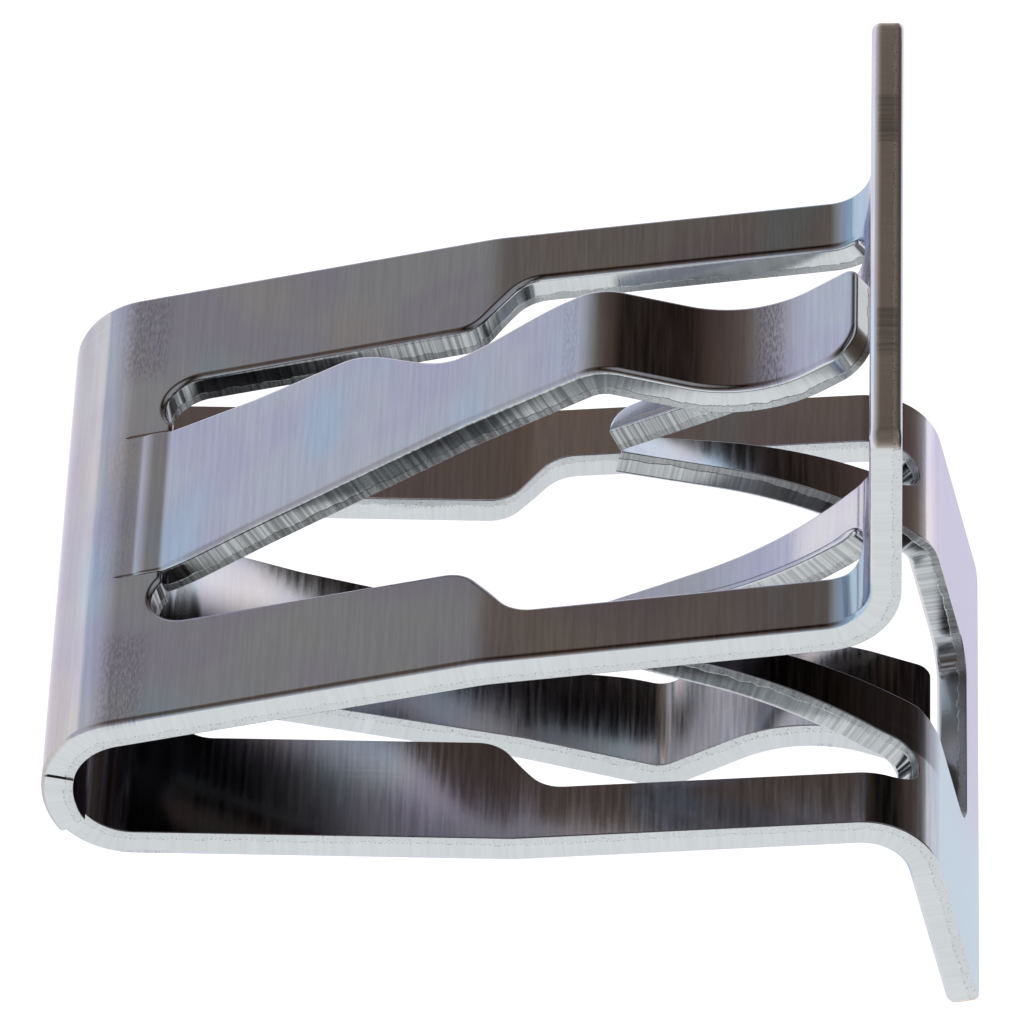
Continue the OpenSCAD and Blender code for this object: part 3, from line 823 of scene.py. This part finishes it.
class Graph:
    """Shader nodes of one tree, made and linked as they are called for."""

    def __init__(self, tree):
        self.tree = tree

    def node(self, kind, inputs, **settings):
        """Node with its settings made, and its inputs set to values or linked to sockets."""
        made = self.tree.nodes.new(kind)
        for key, value in settings.items():
            setattr(made, key, value)
        for key, value in inputs.items():
            if isinstance(value, bpy.types.NodeSocket):
                self.tree.links.new(value, made.inputs[key])
            else:
                made.inputs[key].default_value = value
        return made

    def calc(self, operation, *values):
        """Result of a sum, product or other operation on values."""
        return self.node("ShaderNodeMath", dict(enumerate(values)), operation=operation).outputs[0]

    def product(self, *values):
        """Product of all values."""
        result = values[0]
        for value in values[1:]:
            result = self.calc("MULTIPLY", result, value)
        return result

    def blend(self, share, a, b):
        """Value between a and b."""
        return self.node("ShaderNodeMix", {0: share, 2: a, 3: b}).outputs[0]

    def ease(self, value, low, high, start=0.0, end=1.0):
        """Smooth step from start to end, while the value goes from low to high."""
        inputs = {"Value": value, "From Min": low, "From Max": high, "To Min": start, "To Max": end}
        return self.node("ShaderNodeMapRange", inputs, interpolation_type="SMOOTHSTEP").outputs[0]

    def band(self, value, low, high, soft):
        """One between low and high, and zero outside, with soft ends."""
        up = self.ease(value, low - soft, low + soft)
        down = self.ease(value, high - soft, high + soft, 1.0, 0.0)
        return self.product(up, down)

    def scaled(self, vector, factor):
        """Vector times a factor."""
        inputs = {0: vector, "Scale": factor}
        return self.node("ShaderNodeVectorMath", inputs, operation="SCALE").outputs[0]

    def value(self, name):
        """Value that the mesh keeps for each of its points."""
        return self.node("ShaderNodeAttribute", {}, attribute_name=name).outputs["Fac"]

    def noise(self, vector, stretch, detail):
        """Noise of mean one half, with so many features per millimetre in each direction."""
        scaled = self.node("ShaderNodeMapping", {"Vector": vector, "Scale": stretch}).outputs[0]
        inputs = {"Vector": scaled, "Scale": 1.0, "Detail": detail, "Roughness": NOISE_ROUGHNESS}
        return self.node("ShaderNodeTexNoise", inputs).outputs[0]

    def mix(self, share, a, b, blend="MIX"):
        """Colour between a and b, or b laid over a in another way."""
        pair = [tuple(c) + (1.0,) if not isinstance(c, bpy.types.NodeSocket) else c for c in (a, b)]
        inputs = {0: share, 6: pair[0], 7: pair[1]}
        return self.node("ShaderNodeMix", inputs, data_type="RGBA", blend_type=blend).outputs[2]


def plate_places(g):
    """Place of a point: on the flat strip and in space, in millimetres, and within the sheet."""
    uv = g.node("ShaderNodeUVMap", {}, uv_map="sheet").outputs[0]
    here = g.node("ShaderNodeTexCoord", {}).outputs["Object"]
    flat = g.scaled(uv, UV_SPAN / MM)
    along, across, _ = g.node("ShaderNodeSeparateXYZ", {0: flat}).outputs
    return SimpleNamespace(
        flat=flat,
        spot=g.scaled(here, 1 / MM),
        along=along,
        across=across,
        s=g.calc("ABSOLUTE", along),
        y=g.calc("ABSOLUTE", across),
        depth=g.value("depth"),
        rim=g.value("rim"),
    )


def rub_and_shade_marks(g, p, n, outer):
    """Rub marks, and painted shade on the tongue's crest and dip: outer-face patches in soft bands along
    the strip, reaching softly across it.
    """
    marks = 0.0
    for (low, high), soft, (start, end), strength in RUB_AND_SHADE_MARKS:
        mark = g.product(g.band(p.s, low, high, soft), g.ease(p.y, start, end, 0.0, strength))
        marks = g.calc("ADD", marks, mark)
    return g.product(marks, outer, g.ease(n.patch, *MARK_PATCHES))


def cut_walls(g, p, n, barbs):
    """Masks of the cut walls: all of them, and their torn, pitted, smeared and end parts.

    A wall is torn near the inner face, with a pitted line where the tear starts. The walls of
    the upper window's front and, less so, of the barbs are smeared.
    """
    wall = g.ease(p.rim, *WALL_LEAN)
    shift = g.calc("MULTIPLY_ADD", n.wobble, TEAR_WANDER, g.calc("SUBTRACT", p.depth, TEAR_SETBACK))
    torn = g.product(wall, g.ease(shift, *TEAR))
    line = g.product(wall, g.band(shift, *TEAR_LINE))
    line_pits = g.product(line, g.ease(n.speck, *LINE_PITS))
    torn_pits = g.product(torn, g.ease(n.speck, *TORN_PITS))
    window = g.product(g.ease(p.y, *WINDOW_SIDE), g.ease(p.s, *WINDOW_END), g.ease(p.along, *UPPER_LEG))
    smeared = g.product(wall, g.calc("MAXIMUM", window, g.product(barbs, BARB_SMEAR)))
    return SimpleNamespace(
        wall=wall,
        torn=torn,
        pits=g.calc("MAXIMUM", line_pits, torn_pits),
        smeared=smeared,
        end=g.product(wall, g.ease(p.s, *FLANGE_END)),
    )


def painted_inner_shade(g, p, n, barbs):
    """Painted light and shade between the legs: painted light on the far side, painted shade on the near
    one.

    The painted shade is darkest next to the nose, and darker still on the tongue and the barbs.
    """
    # painted shade, darkest next to the nose and darker on the barbs and the tongue
    level = g.calc("MULTIPLY_ADD", barbs, BARB_SHADE, g.ease(p.s, *INNER_SHADE_PART, *INNER_SHADE_LEVEL))
    tongue = g.product(g.ease(p.y, *TONGUE_SIDE), g.ease(p.s, *TONGUE_END))
    level = g.calc("MULTIPLY_ADD", tongue, TONGUE_SHADE, level)
    level = g.product(level, g.ease(n.grain, *NOISE_RANGE, *INNER_SHADE_GRAIN))
    # painted light on the far inner faces, painted shade on the near ones
    return g.blend(g.ease(p.across, *NEAR_SIDE), FAR_PAINTED_LIGHT, level)


def plate_parts(g, p, n):
    """Masks of the plate's parts, all worked out from a point's place and the noises."""
    outer = g.ease(p.depth, *OUTER_DEPTH)
    inner = g.product(g.ease(p.depth, *INNER_DEPTH), g.ease(p.rim, *INNER_LEAN))
    barbs = g.product(g.band(p.y, *BARB_SIDES), g.ease(p.s, *BARB_START))
    return SimpleNamespace(
        # inner faces of the legs, which get painted light and shade
        inside=g.product(inner, g.ease(p.s, *LEG_END)),
        flange=g.product(inner, g.ease(p.s, *FLANGE_START)),
        # painted shade on the outer face of the bends near the strip's edges
        bend=g.product(g.ease(p.y, *BEND_SHADE_SIDE), g.band(p.s, *BEND_SHADE_PART), outer),
        barbs=barbs,
        # rub marks on the rails and the tongue's root, and painted shade on the tongue's crest and dip
        rubbed_and_shaded=rub_and_shade_marks(g, p, n, outer),
        cut=cut_walls(g, p, n, barbs),
    )


def plate_level(g, p, n, m):
    """Brightness of the plate, as a grey that its tint is multiplied by, with painted light and shade
    between the legs.
    """
    face = g.product(g.ease(n.grain, *NOISE_RANGE, *FACE_LEVEL), g.ease(p.s, *NOSE_PART, *NOSE_LEVEL))
    clean = g.ease(n.upright, *NOISE_RANGE, *WALL_LEVEL)
    streaked = g.ease(n.upright, *SMEAR_RANGE, *SMEAR_LEVEL)
    level = g.blend(m.cut.wall, face, g.blend(m.cut.smeared, clean, streaked))
    # painted shade and painted light on the inner faces between the legs
    level = g.blend(m.inside, level, g.product(level, painted_inner_shade(g, p, n, m.barbs)))
    return g.node("ShaderNodeCombineColor", {0: level, 1: level, 2: level}).outputs[0]


def plate_colour(g, p, n, m, c, glow):
    """Colour of the plate: clouds of tint, then flanges, the bends' painted shade, walls, then the painted
    light and shade between the legs, and what marks them.
    """
    tint = g.mix(g.ease(n.cloud, *LILAC_RANGE), c.plate_lilac, c.plate)
    tint = g.mix(g.ease(n.drift, *STRAW_RANGE), tint, c.plate_straw)
    tint = g.mix(g.ease(n.drift, *BLUE_RANGE), tint, c.plate_blue)
    tint = g.mix(m.flange, tint, glow)
    # painted shade: the bends' outer face near the edges is darkened with the flange's blue
    tint = g.mix(m.bend, tint, c.flange_blue)
    tint = g.mix(m.cut.wall, tint, c.cut)
    tint = g.mix(m.cut.end, tint, c.end_cut)
    tint = g.mix(1.0, tint, plate_level(g, p, n, m), "MULTIPLY")
    tint = g.mix(g.product(g.ease(n.scratch, *SCRATCH_RANGE), SCRATCH_SHARE), tint, c.scratch)
    # painted shade on the tongue's crest and dip, and rub marks on the rails and the tongue's root
    tint = g.mix(g.product(m.rubbed_and_shaded, RUB_AND_SHADE_SHARE), tint, c.rubbed_and_shaded)
    return g.mix(g.product(m.cut.pits, PIT_SHARE), tint, c.pits)


def plate_roughness(g, n, m):
    """Roughness of the grain, raised on the rub marks and the painted-shade marks, tears and end walls."""
    rough = g.ease(n.grain, *NOISE_RANGE, *ROUGHNESS)
    rough = g.calc("MULTIPLY_ADD", m.rubbed_and_shaded, MARK_ROUGHNESS, rough)
    rough = g.calc("MULTIPLY_ADD", m.cut.torn, TEAR_ROUGHNESS, rough)
    return g.calc("MULTIPLY_ADD", m.cut.end, END_ROUGHNESS, rough)


def plate_bump(g, n, m):
    """Normal with the relief of the grain, and of streaks, pits, rub marks and the painted-shade marks."""
    high = g.product(g.calc("MULTIPLY_ADD", n.fine, FINE_SHARE, n.grain), GRAIN_HEIGHT)
    high = g.calc("MULTIPLY_ADD", g.product(m.cut.wall, n.upright), STREAK_HEIGHT, high)
    high = g.calc("MULTIPLY_ADD", g.product(m.cut.torn, n.speck), PIT_HEIGHT, high)
    high = g.calc("MULTIPLY_ADD", g.product(m.rubbed_and_shaded, n.patch), RUB_HEIGHT, high)
    return g.node("ShaderNodeBump", {"Height": high, "Strength": 1.0, "Distance": 1.0}).outputs[0]


def zinc_material(c):
    """Bright zinc plate on cut and pressed steel.

    The faces carry a fine grain across the strip, a few lengthwise scratches, faint tints and
    the rub marks of the press, with painted shade on the tongue's crest and dip and on the
    outer face of the bends near the edges. Between the legs they carry painted shade on the
    near side and painted light on the far side, and they are tinted inside the flanges.
    A cut wall is pale and smooth in its outer part, torn and pitted in its inner part,
    and streaked where the tools have smeared it.
    """
    material = bpy.data.materials.new("zinc_plate")
    material.use_nodes = True
    g = Graph(material.node_tree)
    shader = material.node_tree.nodes["Principled BSDF"]
    shader.inputs["Metallic"].default_value = 1
    p = plate_places(g)
    n = SimpleNamespace()
    for name, (space, stretch, detail) in NOISES.items():
        setattr(n, name, g.noise(getattr(p, space), stretch, detail))
    m = plate_parts(g, p, n)
    clouded = g.calc("MULTIPLY_ADD", n.cloud, FLANGE_CLOUDS, p.across)
    glow = g.mix(g.ease(clouded, *FLANGE_CHANGE), c.flange_blue, c.flange_lilac)
    sockets = {
        "Base Color": plate_colour(g, p, n, m, c, glow),
        "Specular Tint": g.mix(m.flange, c.edge, g.mix(FLANGE_PALE, glow, WHITE)),
        "Roughness": plate_roughness(g, n, m),
        "Normal": plate_bump(g, n, m),
    }
    for name, socket in sockets.items():
        g.tree.links.new(socket, shader.inputs[name])
    return material


def plain_rays(g):
    """One for rays from the camera, mirrored rays and transmitted rays, and zero for light."""
    path = g.node("ShaderNodeLightPath", {})
    seen = g.calc("MAXIMUM", path.outputs["Is Camera Ray"], path.outputs["Is Glossy Ray"])
    return g.calc("MAXIMUM", seen, path.outputs["Is Transmission Ray"])


def floor_material():
    """White floor: seen at its own brightness, with the lamp's light and shadow on top."""
    material = bpy.data.materials.new("pale_floor")
    material.use_nodes = True
    g = Graph(material.node_tree)
    shader = material.node_tree.nodes["Principled BSDF"]
    shader.inputs["Base Color"].default_value = FLOOR_COLOUR
    shader.inputs["Roughness"].default_value = FLOOR_ROUGHNESS
    shader.inputs["Specular IOR Level"].default_value = 0
    glow = g.node("ShaderNodeEmission", {"Strength": g.product(plain_rays(g), FLOOR_GLOW)})
    both = g.node("ShaderNodeAddShader", {0: shader.outputs[0], 1: glow.outputs[0]})
    g.tree.links.new(both.outputs[0], material.node_tree.nodes["Material Output"].inputs["Surface"])
    return material


def studio_world():
    """Room that is bright low on the left, dark higher up and grey overhead, and white to the camera."""
    world = bpy.data.worlds.new("studio")
    world.use_nodes = True
    g = Graph(world.node_tree)
    back = world.node_tree.nodes["Background"]
    way = g.node("ShaderNodeTexCoord", {}).outputs["Generated"]
    part = g.node("ShaderNodeSeparateXYZ", {0: way})
    lift = g.calc("MULTIPLY_ADD", part.outputs["X"], ROOM_LEAN, part.outputs["Z"])
    ramp = g.node("ShaderNodeValToRGB", {"Fac": g.calc("MULTIPLY_ADD", lift, ROOM_SCALE, ROOM_START)})
    stops = ramp.color_ramp.elements
    for place, _ in ROOM[1:-1]:
        stops.new(place)
    for stop, (place, rgb) in zip(stops, ROOM):
        stop.position = place
        stop.color = (*rgb, 1)
    camera = g.node("ShaderNodeLightPath", {}).outputs["Is Camera Ray"]
    g.tree.links.new(g.mix(camera, ramp.outputs[0], WHITE), back.inputs["Color"])
    return world


class CLIP_OT_clip(bpy.types.Operator):
    """Fold the clip's sheet and plate it"""

    bl_idname = "clip.fold_clip"
    bl_label = "Folded clip"

    def execute(self, context):
        piece = add_mesh("folded_clip", clip_mesh(context.scene.clip_sizes))
        piece.data.materials.append(zinc_material(context.scene.clip_finish))
        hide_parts("clip")
        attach(piece, "root")
        return {"FINISHED"}


class CLIP_OT_stage(bpy.types.Operator):
    """Lay the floor and set up light and camera"""

    bl_idname = "clip.stage"
    bl_label = "Stage"

    def execute(self, context):
        scene = context.scene
        scene.view_settings.view_transform = "Standard"
        r = FLOOR_REACH
        mesh = bpy.data.meshes.new("floor")
        mesh.from_pydata([(-r, -r, 0), (r, -r, 0), (r, r, 0), (-r, r, 0)], [], [(0, 1, 2, 3)])
        mesh.materials.append(floor_material())
        floor = bpy.data.objects.new("floor", mesh)
        context.collection.objects.link(floor)
        scene.world = studio_world()

        lamp = bpy.data.lights.new("overhead", "AREA")
        lamp.energy = LAMP_POWER
        lamp.size = LAMP_SIZE
        bulb = bpy.data.objects.new("overhead", lamp)
        bulb.location = LAMP_PLACE
        bulb.visible_glossy = False
        context.collection.objects.link(bulb)

        camera = bpy.data.cameras.new("camera")
        camera.sensor_width = SENSOR
        camera.lens = LENS
        camera.clip_start = EYE_NEAR
        eye = bpy.data.objects.new("camera", camera)
        eye.location = EYE_PLACE
        eye.rotation_euler = [math.radians(a) for a in EYE_TURN]
        context.collection.objects.link(eye)
        scene.camera = eye
        return {"FINISHED"}


class CLIP_PT_panel(bpy.types.Panel):
    """List of the clip's operators, sizes and colours"""

    bl_idname = "CLIP_PT_panel"
    bl_label = "Garnish clip"
    bl_space_type = "VIEW_3D"
    bl_region_type = "UI"
    bl_category = "Clip"

    def draw(self, context):
        layout = self.layout
        layout.operator(CLIP_OT_clip.bl_idname)
        layout.operator(CLIP_OT_stage.bl_idname)
        for group in (context.scene.clip_sizes, context.scene.clip_finish):
            for key in type(group).__annotations__:
                layout.prop(group, key)


CLASSES = (ClipSizes, ClipFinish, CLIP_OT_clip, CLIP_OT_stage, CLIP_PT_panel)


def register():
    for cls in CLASSES:
        bpy.utils.register_class(cls)
    bpy.types.Scene.clip_sizes = PointerProperty(type=ClipSizes)
    bpy.types.Scene.clip_finish = PointerProperty(type=ClipFinish)


def unregister():
    del bpy.types.Scene.clip_finish
    del bpy.types.Scene.clip_sizes
    for cls in reversed(CLASSES):
        bpy.utils.unregister_class(cls)


def main():
    register()
    bpy.ops.clip.fold_clip()
    bpy.ops.clip.stage()


if __name__ == "__main__":
    main()
